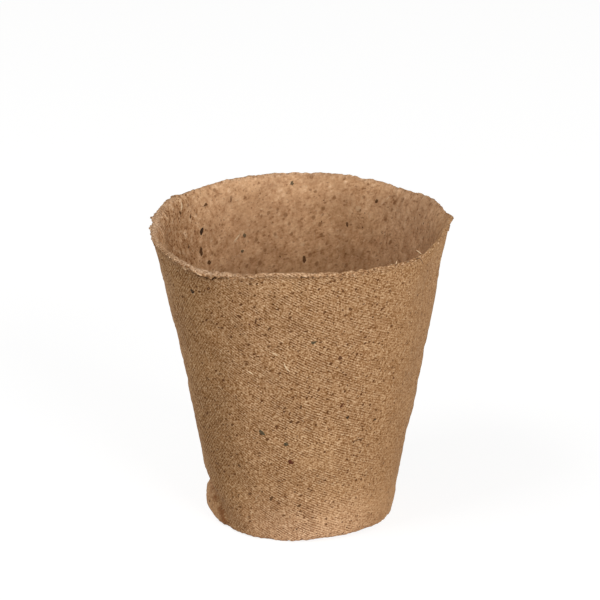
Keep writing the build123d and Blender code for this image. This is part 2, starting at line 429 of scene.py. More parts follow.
# How much paler or darker the pulp is painted than its plain colour, as painted light
# and shade: outside down the wall, with painted bounce light from the sheet near the
# foot, inside all over, painted lighter up the wall and painted shade down it, and
# along the lip: bearing, half width, share of it
OUTSIDE_PAINTED_LIGHT_SHARES = ((-142, 34, -0.17), (-178, 24, 0.2), (-33, 34, -0.06))
PAINTED_BOUNCE_REACH = 0.02
PAINTED_BOUNCE_SHARES = ((-85, 75, 0.42), (10, 60, 0.24), (100, 70, 0.25), (-150, 26, 0.12))
INSIDE_PAINTED_LIGHT_SHARES = ((95, 75, 0.25), (25, 45, 0.28), (126, 34, 0.06))
INSIDE_PAINTED_SHADE = -0.18
INSIDE_PAINTED_SHADE_SHARES = ((88, 42, -0.34),)
LIP_PAINTED_LIGHT_SHARES = ((-26, 50, -0.08), (178, 40, 0.2), (-122, 32, 0.08))

# Where the torn lip is painted paler, partly its pale heart and partly a painted
# highlight, where the felt inside is ruffled, and where the outside was rubbed
# smooth: near the foot, and at some bearings
LEAST_LIP_HIGHLIGHT = 0.12
PALE_LIP_HIGHLIGHT_SHARES = ((-130, 26, 0.85), (-96, 30, 0.4), (180, 50, 0.6), (90, 60, 0.25))
RUFFLED_SHARES = ((164, 42, 1.4),)
RUBBED_FOOT = 0.2
RUBBED_FOOT_REACH = 0.035
RUBBED_SHARES = ((-24, 42, 0.3), (60, 60, 0.1))

# What the finish follows: which skin, how far below the edge, the cracks, the
# lump and the fold over it, the painted light and shade, how pale its torn lip
# is with its painted highlight, where it is ruffled or rubbed, and how clear the print is
rows = np.arange(len(skin))[:, None]
last_inside = len(outside) + len(cap) + len(inside) + len(floor_inside)
innerness = np.clip((rows - len(outside)) / len(cap), 0, 1) * (rows < last_inside) + 0 * bearing
outer_rows = rows < len(outside)
all_heights = skin[..., 2]
lump = lump_dome(bearing, all_heights) * outer_rows
# Fold line over the lump, where painted shade is laid along the crease
FOLD_MIDDLE = 0.12
FOLD_REACH = 0.34
fold = bell(into_lump(bearing, all_heights) - FOLD_MIDDLE, FOLD_REACH)
fold = fold * outer_rows * (all_heights > 0)
bare = np.maximum(innerness, lump)
# Painted bounce light from the white sheet, paler towards the foot
painted_bounce = swell(bearing, PAINTED_BOUNCE_SHARES) * bell(all_heights, PAINTED_BOUNCE_REACH)
up_wall = np.clip(all_heights / HEIGHT, 0, 1)
# Inside: painted shade down the wall, where the near wall shades it, and painted light up it
painted_shade_inside = (INSIDE_PAINTED_SHADE + swell(bearing, INSIDE_PAINTED_SHADE_SHARES)) * (1 - up_wall)
dried_inside = swell(bearing, INSIDE_PAINTED_LIGHT_SHARES) * up_wall + painted_shade_inside
# Painted light and shade outside, with the painted bounce light near the foot
dried_outside = swell(bearing, OUTSIDE_PAINTED_LIGHT_SHARES) + painted_bounce
# Painted light and shade along the lip band
dried_lip = swell(bearing, LIP_PAINTED_LIGHT_SHARES) * bell(edge - all_heights, LIP_BAND)
# All painted light and shade together, as a factor on the pulp's brightness
dried = 1 + dried_outside * (1 - innerness) + dried_inside * innerness + dried_lip
rubbed = RUBBED_FOOT * bell(all_heights, RUBBED_FOOT_REACH) + swell(bearing, RUBBED_SHARES)
rubbed = rubbed * (1 - innerness)
carry(shell_mesh, "dried", dried)
carry(shell_mesh, "pale_lip_highlight", LEAST_LIP_HIGHLIGHT + swell(bearing, PALE_LIP_HIGHLIGHT_SHARES) + 0 * all_heights)
carry(shell_mesh, "ruffled", swell(bearing, RUFFLED_SHARES) * innerness)
carry(shell_mesh, "rubbed", rubbed)
carry(shell_mesh, "innerness", innerness)
carry(shell_mesh, "below_edge", edge - all_heights)
carry(shell_mesh, "crack_below", crack_line(bearing) + 0 * all_heights)
carry(shell_mesh, "cracked", swell(bearing, CRACK_SHARES) * outer_rows)
carry(shell_mesh, "lump", lump)
carry(shell_mesh, "fold", fold)
for name, shares in (("first_wires", FIRST_WIRE_SHARES), ("second_wires", SECOND_WIRE_SHARES)):
    carry(shell_mesh, name, (FAINTEST_PRINT + swell(bearing, shares)) * (1 - bare))

# The mesh print runs straight on the wall rolled out flat from the front, and
# straight under the foot
FRONT_BEARING = 270
apex_to_foot = FOOT_RADIUS / math.sin(SLANT)
full_turn = np.append(bearing[0], bearing[0, 0] + 360)
roll = np.radians(full_turn - FRONT_BEARING) * math.sin(SLANT)
slant_way = apex_to_foot + np.concatenate([all_heights, all_heights[:, :1]], 1) / math.cos(SLANT)
rolled_out = np.stack([slant_way * np.sin(roll), slant_way * np.cos(roll) - apex_to_foot], -1)
flat_foot = np.concatenate([skin[..., :2], skin[:, :1, :2]], 1)
on_wall = (rows < last_inside)[..., None]
this_row = np.where(on_wall, rolled_out, flat_foot)
next_row = np.roll(np.where(np.roll(on_wall, 1, 0), rolled_out, flat_foot), -1, 0)
corners = np.stack([this_row[:, :-1], this_row[:, 1:], next_row[:, 1:], next_row[:, :-1]], 2)
rolled_map = shell_mesh.uv_layers.new(name="rolled_out")
rolled_map.data.foreach_set("uv", corners.astype(np.float32).ravel())


def lay(tree, kind, inputs=None, **settings):
    """One step of a finish: a shader node, its settings, and its inputs wired or set."""
    step = tree.nodes.new("ShaderNode" + kind)
    for key, value in settings.items():
        setattr(step, key, value)
    for key, value in (inputs or {}).items():
        if isinstance(value, bpy.types.NodeSocket):
            tree.links.new(value, step.inputs[key])
        else:
            step.inputs[key].default_value = value
    return step


def sums(tree, how, first, second=0.0, third=0.0):
    """Arithmetic on two or three values of a finish."""
    return lay(tree, "Math", {0: first, 1: second, 2: third}, operation=how).outputs[0]


def ramp(tree, value, low, high, start=0.0, end=1.0):
    """Value that runs smoothly from start to end as the given one goes from low to high."""
    inputs = {"Value": value, "From Min": low, "From Max": high, "To Min": start, "To Max": end}
    return lay(tree, "MapRange", inputs, interpolation_type="SMOOTHSTEP").outputs[0]


# Where a Mix step takes its two colours, and gives the mixed one
MIX_COLOURS, MIXED_COLOUR = (6, 7), 2

# How far apart the swellings of noise are at a scale of one
NOISE_SWELLING = 0.6


def tint(tree, share, first, second):
    """Two colours of a finish mixed by a share."""
    mix = lay(tree, "Mix", {"Factor": share}, data_type="RGBA")
    for slot, colour in zip(MIX_COLOURS, (first, second)):
        if isinstance(colour, bpy.types.NodeSocket):
            tree.links.new(colour, mix.inputs[slot])
        else:
            mix.inputs[slot].default_value = (*colour, 1)
    return mix.outputs[MIXED_COLOUR]


def cloud(tree, place, pitch, detail=2.0, rough=0.5):
    """Cloudy noise whose swellings are about one pitch apart."""
    scale = NOISE_SWELLING / pitch
    inputs = {"Vector": place, "Scale": scale, "Detail": detail, "Roughness": rough}
    return lay(tree, "TexNoise", inputs).outputs["Fac"]


def flecks(tree, place, pitch, share, least, most, edge):
    """Scattered flecks: cells one pitch wide, of which a share hold a fleck of their own size.

    Sizes are radii in pitches, and small ones are commonest, as they go by the
    square of an even draw. A fleck fades out over its edge.
    """
    cells = lay(tree, "TexVoronoi", {"Vector": place, "Scale": 1 / pitch, "Randomness": 1.0})
    parts = lay(tree, "SeparateColor", {"Color": cells.outputs["Color"]})
    drawn = sums(tree, "POWER", parts.outputs[1], 2.0)
    size = sums(tree, "MULTIPLY_ADD", drawn, most - least, least)
    spot = ramp(tree, sums(tree, "SUBTRACT", size, cells.outputs["Distance"]), 0.0, edge)
    return sums(tree, "MULTIPLY", spot, sums(tree, "LESS_THAN", parts.outputs[0], share))


def crooked(tree, place, pitch, reach):
    """Place pushed aside by cloudy noise, so that what lies on it is crooked."""
    inputs = {"Vector": place, "Scale": NOISE_SWELLING / pitch, "Detail": 1.0}
    noise = lay(tree, "TexNoise", inputs)
    pushed = {0: noise.outputs["Color"], 1: (reach, reach, reach), 2: place}
    return lay(tree, "VectorMath", pushed, operation="MULTIPLY_ADD").outputs[0]


def drawn_out(tree, place, turn, longer):
    """Place drawn out along one turned axis, so that what lies on it is long that way."""
    inputs = {"Vector": place, "Rotation": turn, "Scale": (1, 1, longer)}
    return lay(tree, "Mapping", inputs, vector_type="TEXTURE").outputs[0]


def wire_lines(tree, flat, turn, pitch, waver):
    """One set of wires of the mould's mesh: even ridges whose normal is turned so far."""
    parts = lay(tree, "SeparateXYZ", {"Vector": flat})
    across = sums(tree, "MULTIPLY_ADD", parts.outputs[0], math.cos(turn) / pitch, waver)
    phase = sums(tree, "MULTIPLY_ADD", parts.outputs[1], math.sin(turn) / pitch, across)
    wave = sums(tree, "COSINE", sums(tree, "MULTIPLY", phase, 2 * math.pi))
    return sums(tree, "MULTIPLY_ADD", wave, 0.5, 0.5)


def swing(tree, value, reach, total):
    """Total plus the swing of a value about a half, scaled to its reach."""
    return sums(tree, "MULTIPLY_ADD", sums(tree, "SUBTRACT", value, 0.5), reach, total)


def shades(tree, value, stops):
    """Colour of a value, run between stops of a place from 0 to 1 and a colour."""
    step = lay(tree, "ValToRGB", {"Fac": value})
    points = step.color_ramp.elements
    (points[0].position, first), (points[1].position, last) = stops[0], stops[-1]
    points[0].color, points[1].color = (*first, 1), (*last, 1)
    for where, colour in stops[1:-1]:
        points.new(where).color = (*colour, 1)
    return step.outputs["Color"]


def more_where(tree, there, plain, more):
    """Plain value, and so much more of it where the given one is high."""
    return sums(tree, "MULTIPLY_ADD", there, more, plain)


def new_finish(name):
    """Material with no steps laid yet, and the tree to lay them in."""
    material = bpy.data.materials.new(name)
    material.use_nodes = True
    material.node_tree.nodes.clear()
    return material, material.node_tree


def lay_surface(tree, colour, roughness, shine, height, strength, distance):
    """Last steps of a finish: the relief of a height, and the surface that shows it."""
    relief = {"Height": height, "Strength": strength, "Distance": distance}
    bump = lay(tree, "Bump", relief).outputs["Normal"]
    look = {"Base Color": colour, "Roughness": roughness, "Specular IOR Level": shine}
    surface = lay(tree, "BsdfPrincipled", {**look, "Normal": bump})
    lay(tree, "OutputMaterial", {"Surface": surface.outputs["BSDF"]})


pulp, tree = new_finish("pressed_pulp")
place = lay(tree, "TexCoord").outputs["Object"]
flat = lay(tree, "UVMap", uv_map="rolled_out").outputs["UV"]
follow = {
    name: lay(tree, "Attribute", attribute_name=name).outputs["Fac"]
    for name in (
        "innerness", "below_edge", "crack_below", "cracked", "pale_lip_highlight", "ruffled",
        "rubbed", "lump", "fold", "dried", "first_wires", "second_wires",
    )
}
inner = follow["innerness"]
below = follow["below_edge"]

# Mesh print: two crossing sets of wires, each worn away in small patches. They
# waver by noise of a pitch, a detail and a reach in pitches of the mesh. A ramp,
# here and below, is where a value starts and ends and what it then gives
MESH_PITCH = 0.00067
MESH_TURN = math.radians(60)
WAVERS = ((0.0045, 2, 0.7), (0.0013, 1, 0.5))
WORN_PITCH = 0.0016
WORN_RAMP = (0.38, 0.56, 0.2, 1.0)
waver = 0.0
for pitch, detail, reach in WAVERS:
    waver = swing(tree, cloud(tree, place, pitch, detail), reach, waver)
worn = ramp(tree, cloud(tree, place, WORN_PITCH), *WORN_RAMP)
first_clear = sums(tree, "MULTIPLY", follow["first_wires"], worn)
second_clear = sums(tree, "MULTIPLY", follow["second_wires"], worn)
first_wires = wire_lines(tree, flat, MESH_TURN, MESH_PITCH, waver)
second_wires = wire_lines(tree, flat, MESH_TURN + math.pi / 2, MESH_PITCH, waver)

# Felt: a fine grain and shreds that lie three ways. Its height is its tone too:
# hollows are darker and high shreds paler, partly as dark peat dust and pale dry
# shreds and partly as painted shade of the relief and its print
GRAIN_PITCH = 0.0003
GRAIN_ROUGHNESS = 0.6
SHRED_PITCH = 0.00036
SHRED_WAYS = ((1.2, 0.4, 0.0), (0.3, 1.2, 0.9), (0.9, -0.9, 2.0))
SHRED_LONGER = 3.5
BLOTCH_PITCH = 0.0016
STREAK_PITCH = 0.0007
STREAK_WAY = (0.2, 0.15, 0.0)
STREAK_LONGER = 2.5
FELT_MIDDLE = 0.5

# How high each layer stands in the felt, and how much higher where the outside
# is rubbed or the inside is ruffled
WIRE_RISE, WIRES_WHERE_RUBBED = 0.5, -0.5
SHRED_RISE, SHREDS_WHERE_RUBBED = 0.34, -0.4
GRAIN_RISE, GRAIN_WHERE_RUBBED = 1.5, -1.8
INNER_SHRED_RISE, INNER_BLOTCH_RISE = 0.4, 0.5
STREAK_RISE, STREAKS_WHERE_RUFFLED = 0.75, 0.8
INNER_GRAIN_RISE, GRAIN_WHERE_RUFFLED = 0.35, 0.8

grain = cloud(tree, place, GRAIN_PITCH, 1, GRAIN_ROUGHNESS)
shreds = 0.0
for way in SHRED_WAYS:
    lying = drawn_out(tree, place, way, SHRED_LONGER)
    shreds = swing(tree, cloud(tree, lying, SHRED_PITCH, 1), 1.0, shreds)
blotches = cloud(tree, place, BLOTCH_PITCH)
streaks = cloud(tree, drawn_out(tree, place, STREAK_WAY, STREAK_LONGER), STREAK_PITCH)
wire_rise = more_where(tree, follow["rubbed"], WIRE_RISE, WIRES_WHERE_RUBBED)
outer_felt = FELT_MIDDLE
for wires, clear in ((first_wires, first_clear), (second_wires, second_clear)):
    outer_felt = swing(tree, wires, sums(tree, "MULTIPLY", clear, wire_rise), outer_felt)
shred_rise = more_where(tree, follow["rubbed"], SHRED_RISE, SHREDS_WHERE_RUBBED)
outer_felt = sums(tree, "MULTIPLY_ADD", shreds, shred_rise, outer_felt)
grain_rise = more_where(tree, follow["rubbed"], GRAIN_RISE, GRAIN_WHERE_RUBBED)
outer_felt = swing(tree, grain, grain_rise, outer_felt)
inner_felt = sums(tree, "MULTIPLY_ADD", shreds, INNER_SHRED_RISE, FELT_MIDDLE)
inner_felt = swing(tree, blotches, INNER_BLOTCH_RISE, inner_felt)
streak_rise = more_where(tree, follow["ruffled"], STREAK_RISE, STREAKS_WHERE_RUFFLED)
inner_felt = swing(tree, streaks, streak_rise, inner_felt)
grain_rise = more_where(tree, follow["ruffled"], INNER_GRAIN_RISE, GRAIN_WHERE_RUFFLED)
inner_felt = swing(tree, grain, grain_rise, inner_felt)

# Colours of the felt from its hollows up to its highest shreds
OUTER_FELT_COLOURS = (
    (0.0, (0.1, 0.03, 0.006)),
    (0.28, (0.237, 0.11, 0.038)),
    (0.5, (0.38, 0.209, 0.098)),
    (0.72, (0.505, 0.31, 0.163)),
    (1.0, (0.7, 0.475, 0.285)),
)
INNER_FELT_COLOURS = (
    (0.05, (0.2, 0.085, 0.03)),
    (0.33, (0.4, 0.21, 0.096)),
    (0.5, (0.49, 0.276, 0.137)),
    (0.7, (0.58, 0.35, 0.186)),
    (1.0, (0.74, 0.5, 0.31)),
)
# The felt's height sets its colour, so the relief's shade is partly painted into it
outer_colour = shades(tree, outer_felt, OUTER_FELT_COLOURS)
inner_colour = shades(tree, inner_felt, INNER_FELT_COLOURS)

# Dark blotches outside, dark patches inside, and wide dark and pale clouds over
# both. Painted light and shade then scale the brightness, and where the pulp is
# painted paler its colour is less strong too
BLOTCH_RAMP, BLOTCH_COLOUR = (0.52, 0.7, 0.0, 0.35), (0.22, 0.1, 0.036)
PATCH_PITCH = 0.0042
PATCH_RAMP, PATCH_COLOUR = (0.42, 0.68, 0.0, 0.3), (0.26, 0.125, 0.05)
CLOUD_PITCH = 0.011
DARK_CLOUD_RAMP, DARK_CLOUD_COLOUR = (0.35, 0.65, 0.12, 0.0), (0.2, 0.1, 0.04)
PALE_CLOUD_RAMP, PALE_CLOUD_COLOUR = (0.5, 0.7, 0.0, 0.12), (0.6, 0.36, 0.17)
FADING = 0.25
outer_colour = tint(tree, ramp(tree, blotches, *BLOTCH_RAMP), outer_colour, BLOTCH_COLOUR)
patches = cloud(tree, place, PATCH_PITCH)
inner_colour = tint(tree, ramp(tree, patches, *PATCH_RAMP), inner_colour, PATCH_COLOUR)
colour = tint(tree, inner, outer_colour, inner_colour)
clouds = cloud(tree, place, CLOUD_PITCH)
colour = tint(tree, ramp(tree, clouds, *DARK_CLOUD_RAMP), colour, DARK_CLOUD_COLOUR)
colour = tint(tree, ramp(tree, clouds, *PALE_CLOUD_RAMP), colour, PALE_CLOUD_COLOUR)
# Painted light and shade: brightness scaled, and colour faded where painted paler
faded = more_where(tree, follow["dried"], 1 + FADING, -FADING)
painted_lighting = {"Color": colour, "Saturation": faded, "Value": follow["dried"]}
colour = lay(tree, "HueSaturation", painted_lighting).outputs["Color"]

# Bark dust, specks and curled crumbs of peat, pale fibres, and soft dark and pale
# mottles inside: turn, how much drawn out, pitch, share of the cells that hold
# one, least and most radius in pitches, and how far its edge fades
CROOKED_PITCH, CROOKED_REACH = 0.0006, 0.0005
DUST = ((0.5, 0.9, 0.3), 1.6, 0.0009, 0.7, 0.1, 0.3, 0.05)
SPECKS = ((1.1, 0.2, 0.7), 1.7, 0.0014, 0.95, 0.1, 0.27, 0.03)
CURLS = ((0.5, 1.3, 0.2), 2.8, 0.0009, 0.4, 0.14, 0.3, 0.03)
PALE_FIBRES = ((0.2, 0.7, 0.1), 5.0, 0.0006, 0.12, 0.1, 0.3, 0.05)
MOTTLES = ((0.4, 0.2, 0.5), 1.5, 0.0017, 0.95, 0.12, 0.42, 0.2)
PALE_MOTTLES = ((1.0, 0.5, 0.2), 2.0, 0.0028, 0.7, 0.08, 0.32, 0.15)
bent = crooked(tree, place, CROOKED_PITCH, CROOKED_REACH)
dust, specks, curls, pale_fibres, mottles, pale_mottles = (
    flecks(tree, drawn_out(tree, bent, way, longer), *sizes)
    for way, longer, *sizes in (DUST, SPECKS, CURLS, PALE_FIBRES, MOTTLES, PALE_MOTTLES)
)

# How strongly they show outside and inside, and how much more where the pulp is
# rubbed or ruffled, and their colours
INNER_MOTTLES = 0.6
OUTER_DUST, INNER_DUST, DUST_WHERE_RUFFLED = 0.5, 0.3, 0.5
OUTER_SPECKS, INNER_SPECKS = 0.9, 0.4
SPECKS_WHERE_RUBBED, SPECKS_WHERE_RUFFLED = -0.7, 0.4
PALE_FIBRE_SHARE = 0.45
MOTTLE_COLOUR, PALE_MOTTLE_COLOUR = (0.17, 0.068, 0.02), (0.6, 0.4, 0.235)
DUST_COLOUR = (0.14, 0.052, 0.014)
OUTER_SPECK_COLOUR, INNER_SPECK_COLOUR = (0.095, 0.032, 0.008), (0.15, 0.055, 0.018)
PALE_FIBRE_COLOUR = (0.74, 0.53, 0.33)
mottled = ramp(tree, inner, 0.0, 1.0, 0.0, INNER_MOTTLES)
colour = tint(tree, sums(tree, "MULTIPLY", mottles, mottled), colour, MOTTLE_COLOUR)
colour = tint(tree, sums(tree, "MULTIPLY", pale_mottles, mottled), colour, PALE_MOTTLE_COLOUR)
dust_share = ramp(tree, inner, 0.0, 1.0, OUTER_DUST, INNER_DUST)
dust_share = more_where(tree, follow["ruffled"], dust_share, DUST_WHERE_RUFFLED)
colour = tint(tree, sums(tree, "MULTIPLY", dust, dust_share), colour, DUST_COLOUR)
specks = sums(tree, "MAXIMUM", specks, curls)
speck_share = ramp(tree, inner, 0.0, 1.0, OUTER_SPECKS, INNER_SPECKS)
speck_share = more_where(tree, follow["rubbed"], speck_share, SPECKS_WHERE_RUBBED)
speck_share = more_where(tree, follow["ruffled"], speck_share, SPECKS_WHERE_RUFFLED)
speck_colour = tint(tree, inner, OUTER_SPECK_COLOUR, INNER_SPECK_COLOUR)
colour = tint(tree, sums(tree, "MULTIPLY", specks, speck_share), colour, speck_colour)
fibre_share = sums(tree, "MULTIPLY", pale_fibres, PALE_FIBRE_SHARE)
colour = tint(tree, fibre_share, colour, PALE_FIBRE_COLOUR)

# Torn edge, paler partly as torn pulp and partly as a painted highlight, lump at
# the heel, painted shadow along the cracks under the lip and painted shade in the
# fold over the lump. The specks lie a little sunk in the felt
LIP_HIGHLIGHT_RAMP = (0.0001, 0.0008, 0.8, 0.0)
LIP_HIGHLIGHT_COLOURS = ((0.1, (0.24, 0.112, 0.046)), (0.8, (0.76, 0.525, 0.345)))
LUMP_SHARE, LUMP_COLOUR = 0.4, (0.6, 0.34, 0.17)
CRACK_SHADOW_RAMP, CRACK_SHADOW_COLOUR = (0.0, 0.0003, 0.9, 0.0), (0.07, 0.028, 0.01)
FOLD_SHADE_RAMP, FOLD_SHADE_COLOUR = (0.42, 0.56, 0.1, 0.85), (0.19, 0.07, 0.022)
SPECKS_SUNK = 0.3
PULP_ROUGHNESS, PULP_SHINE = 0.92, 0.15
PULP_STRENGTH, PULP_RELIEF = 1.0, 0.00012
# Paler pulp along the top of the torn lip: partly torn pulp, partly a painted highlight
torn = sums(tree, "MULTIPLY", ramp(tree, below, *LIP_HIGHLIGHT_RAMP), follow["pale_lip_highlight"])
colour = tint(tree, torn, colour, shades(tree, outer_felt, LIP_HIGHLIGHT_COLOURS))
lump_share = sums(tree, "MULTIPLY", follow["lump"], LUMP_SHARE)
colour = tint(tree, lump_share, colour, LUMP_COLOUR)
# Painted shadow along the crack under the lip's bead
off_crack = sums(tree, "ABSOLUTE", sums(tree, "SUBTRACT", below, follow["crack_below"]))
crack_shadow_share = sums(tree, "MULTIPLY", ramp(tree, off_crack, *CRACK_SHADOW_RAMP), follow["cracked"])
colour = tint(tree, crack_shadow_share, colour, CRACK_SHADOW_COLOUR)
# Painted shade along the fold over the lump, broken up by the blotches
fold_shade_share = sums(tree, "MULTIPLY", follow["fold"], ramp(tree, blotches, *FOLD_SHADE_RAMP))
colour = tint(tree, fold_shade_share, colour, FOLD_SHADE_COLOUR)
felt = tint(tree, inner, outer_felt, inner_felt)
height = more_where(tree, specks, felt, -SPECKS_SUNK)
lay_surface(tree, colour, PULP_ROUGHNESS, PULP_SHINE, height, PULP_STRENGTH, PULP_RELIEF)
shell_mesh.materials.append(pulp)

shell = show(shell_mesh)
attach(shell, "root")
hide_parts("pot_shell")

# Bark chips: coarse flakes of dark bark that went through the pulper whole.
# Each lies nearly flush in the pocket it pressed, crumpled and split at its edge.
CHIP_SIZE = 0.0011
CHIP_DEPTH = 0.0004
CHIP_PROUD = 0.00009

# The waves round a flake's outline, their least and most height in shares of its
# size, how full its section is, and how much its face is crumpled
OUTLINE_WAVES = (2, 3, 5)
OUTLINE_RAGGED = (0.04, 0.2)
FLAKE_FULLNESS = 0.7
CRUMPLE = 0.5

# Bearing, share of HEIGHT, length and width as shares of CHIP_SIZE, tilt, and
# tone: 0 black, 1 brown, 2 red, 3 green, 4 pale with dried pulp
OUTER_CHIP_SHARES = (
    (-136, 0.90, 1.2, 1.0, 20, 0.2),
    (-84, 0.757, 1.3, 0.8, 10, 3.2),
    (-72, 0.692, 1.2, 0.95, -20, 1.5),
    (-108, 0.834, 1.8, 0.4, 80, 1.5),
    (-102.5, 0.81, 1.1, 0.5, 55, 0.8),
    (-90, 0.524, 1.4, 0.35, 85, 1.0),
    (-98, 0.505, 0.8, 0.5, 30, 1.5),
    (-66.5, 0.465, 0.9, 0.7, 60, 0.1),
    (-110, 0.42, 1.8, 1.0, -25, 3.1),
    (-98, 0.381, 1.1, 1.0, 0, 3.0),
    (-96, 0.313, 1.35, 1.2, -60, 2.0),
    (-95, 0.466, 0.95, 0.65, 20, 1.3),
    (-70, 0.515, 1.3, 0.5, 60, 1.7),
    (-60, 0.371, 4.2, 0.24, 4, 1.0),
    (-51, 0.433, 0.8, 0.65, 10, 0.5),
    (-125, 0.278, 1.0, 0.65, -20, 1.2),
    (-108, 0.17, 1.5, 0.7, 60, 1.0),
    (-92, 0.146, 1.05, 0.7, 30, 1.2),
    (-163, 0.06, 0.7, 0.65, 0, 0.9),
    (20, 0.80, 1.4, 0.8, -50, 0.5),
    (41, 0.34, 1.2, 0.9, 15, 1.1),
    (88, 0.22, 1.6, 0.7, -15, 0.2),
    (128, 0.45, 1.5, 0.6, -70, 1.5),
    (149, 0.86, 1.0, 0.7, 5, 0.7),
)
INNER_CHIP_SHARES = (
    (138, 0.869, 2.1, 1.0, 125, 0.2),
    (140, 0.804, 2.1, 1.3, 105, 0.7),
    (115, 0.815, 1.2, 0.9, 60, 3.6),
    (87, 0.718, 1.8, 0.95, 90, 1.1),
    (92, 0.974, 1.0, 0.9, 0, 3.6),
    (133, 0.949, 1.1, 0.85, 0, 1.1),
    (136, 0.758, 1.4, 0.9, 75, 0.9),
    (149, 0.957, 1.2, 0.6, 60, 1.1),
    (143, 0.93, 1.0, 0.6, 120, 1.2),
    (148, 0.84, 0.9, 0.6, 100, 0.9),
    (117, 0.765, 0.9, 0.8, 0, 3.6),
    (120, 0.945, 1.6, 0.3, 95, 1.4),
    (53, 0.94, 1.3, 0.7, -60, 0.9),
    (67, 0.843, 1.3, 0.6, 90, 1.2),
    (-150, 0.66, 1.3, 0.8, 25, 0.8),
    (-61, 0.73, 1.5, 0.7, -30, 1.0),
)


def lie_on_wall(facing, rows, along, across, proud):
    """Points along and across bits that lie on the wall, each at its row's place and tilt.

    Facing is 1 for the outside and -1 for the inside. The bit's plane is
    wrapped on the skin, and proud stands out of it along the wall's normal.
    """
    bearings, heights, turn = rows[:, 0], HEIGHT * rows[:, 1], np.radians(rows[:, 4])
    level = along * np.cos(turn) - facing * across * np.sin(turn)
    rise = along * np.sin(turn) + facing * across * np.cos(turn)
    bearing = bearings + np.degrees(level / wall_radius(bearings, heights))
    height = heights + rise * math.cos(SLANT)
    normal = outward(bearing) * math.cos(SLANT) - np.array([0, 0, math.sin(SLANT)])
    skin_of = outer_skin if facing > 0 else inner_skin
    return skin_of(bearing, height) + facing * proud[..., None] * normal


def spoke_turns(spokes):
    """Turn of each spoke of a ring, for bodies by rings by spokes."""
    return 2 * np.pi * np.arange(spokes)[None, None, :] / spokes


def capped_rings(name, *groups):
    """Mesh of many closed bodies, each a stack of rings with a pole at both ends.

    Groups are bodies by rings by spokes, and a body's first and last ring are
    its poles. Spokes run anticlockwise as seen from outside the first pole.
    """
    stacks = np.concatenate(groups)
    rings, first_pole, last_pole = stacks[:, 1:-1], stacks[:, :1, 0], stacks[:, -1:, 0]
    bodies, count, spokes = rings.shape[:3]
    each = count * spokes + 2
    points = np.concatenate([first_pole, rings.reshape(bodies, -1, 3), last_pole], 1)
    start = each * np.arange(bodies)[:, None]
    spoke = np.arange(spokes)
    following = (spoke + 1) % spokes
    base = 1 + spokes * np.arange(count - 1)[:, None]
    above = base + spokes
    quads = np.stack([base + spoke, above + spoke, above + following, base + following], -1)
    last = 1 + spokes * (count - 1)
    fans = np.concatenate([
        np.stack([0 * spoke, 1 + spoke, 1 + following], -1),
        np.stack([0 * spoke + each - 1, last + following, last + spoke], -1),
    ])
    quads = (start[..., None] + quads.reshape(-1, 4)).reshape(-1, 4)
    fans = (start[..., None] + fans).reshape(-1, 3)
    return faced_mesh(name, points.reshape(-1, 3), quads, fans)


def carry_each(mesh, name, values):
    """Keep one number for each body of the mesh, the same at all its points."""
    carry(mesh, name, np.repeat(values, len(mesh.vertices) // len(values)))


def flakes(facing, rows, size, depth, proud, count, spokes, seed):
    """Crumpled flakes laid on one face of the wall, as bodies by rings by spokes.

    A flake's section is an egg of radius sin(a) to the power FLAKE_FULLNESS,
    proud of the skin over the edge and sunk to its depth under it. Its outline
    is an oval with random waves round it, which split and corner its edge.
    """
    draw = np.random.default_rng(seed)
    rows = np.array(rows, float)[:, :, None, None]
    angle = np.linspace(0, np.pi, count + 2)[None, :, None]
    spoke = spoke_turns(spokes)
    each_wave = (len(OUTLINE_WAVES), len(rows), 1, 1)
    heights = draw.uniform(*OUTLINE_RAGGED, each_wave)
    phases = draw.uniform(0, 2 * np.pi, each_wave)
    waves = np.array(OUTLINE_WAVES)[:, None, None, None]
    outline = 1 + (heights * np.cos(waves * spoke + phases)).sum(0)
    out = np.clip(np.sin(angle), 0, 1) ** FLAKE_FULLNESS * outline / 2
    along = size * rows[:, 2] * out * np.cos(spoke)
    across = size * rows[:, 3] * out * np.sin(spoke)
    crumple = 1 + CRUMPLE * draw.normal(size=(len(rows), count + 2, spokes)) * np.sin(angle)
    thick = np.where(np.cos(angle) > 0, proud * crumple, depth) * np.cos(angle)
    return lie_on_wall(facing, rows, along, across, thick)


RINGS, SPOKES = 7, 14
chip_sizes = (CHIP_SIZE, CHIP_DEPTH, CHIP_PROUD, RINGS, SPOKES)
chip_mesh = capped_rings(
    "bark_flakes",
    flakes(1, OUTER_CHIP_SHARES, *chip_sizes, 31),
    flakes(-1, INNER_CHIP_SHARES, *chip_sizes, 32),
)
carry_each(chip_mesh, "tone", [row[-1] for row in OUTER_CHIP_SHARES + INNER_CHIP_SHARES])

# Bark is black at no tone. Each further colour comes in from one tone to another,
# and pulp dust lies on the high grit
BLACK_BARK = (0.026, 0.015, 0.008)
BARK_TONES = (
    (0.0, 1.0, (0.115, 0.052, 0.019)),
    (1.2, 2.0, (0.1, 0.024, 0.01)),
    (2.2, 3.0, (0.075, 0.059, 0.032)),
    (3.0, 4.0, (0.19, 0.13, 0.07)),
)
GRIT_PITCH, GRIT_DETAIL, GRIT_ROUGHNESS = 0.00025, 3, 0.6
DUSTY_RAMP, DUSTY_COLOUR = (0.5, 0.72, 0.0, 0.5), (0.22, 0.12, 0.055)
BARK_ROUGHNESS, BARK_SHINE = 0.85, 0.15
BARK_STRENGTH, BARK_RELIEF = 0.8, 0.0001
bark, tree = new_finish("dark_bark")
place = lay(tree, "TexCoord").outputs["Object"]
tone = lay(tree, "Attribute", attribute_name="tone").outputs["Fac"]
colour = BLACK_BARK
for start, full, bark_colour in BARK_TONES:
    colour = tint(tree, ramp(tree, tone, start, full), colour, bark_colour)
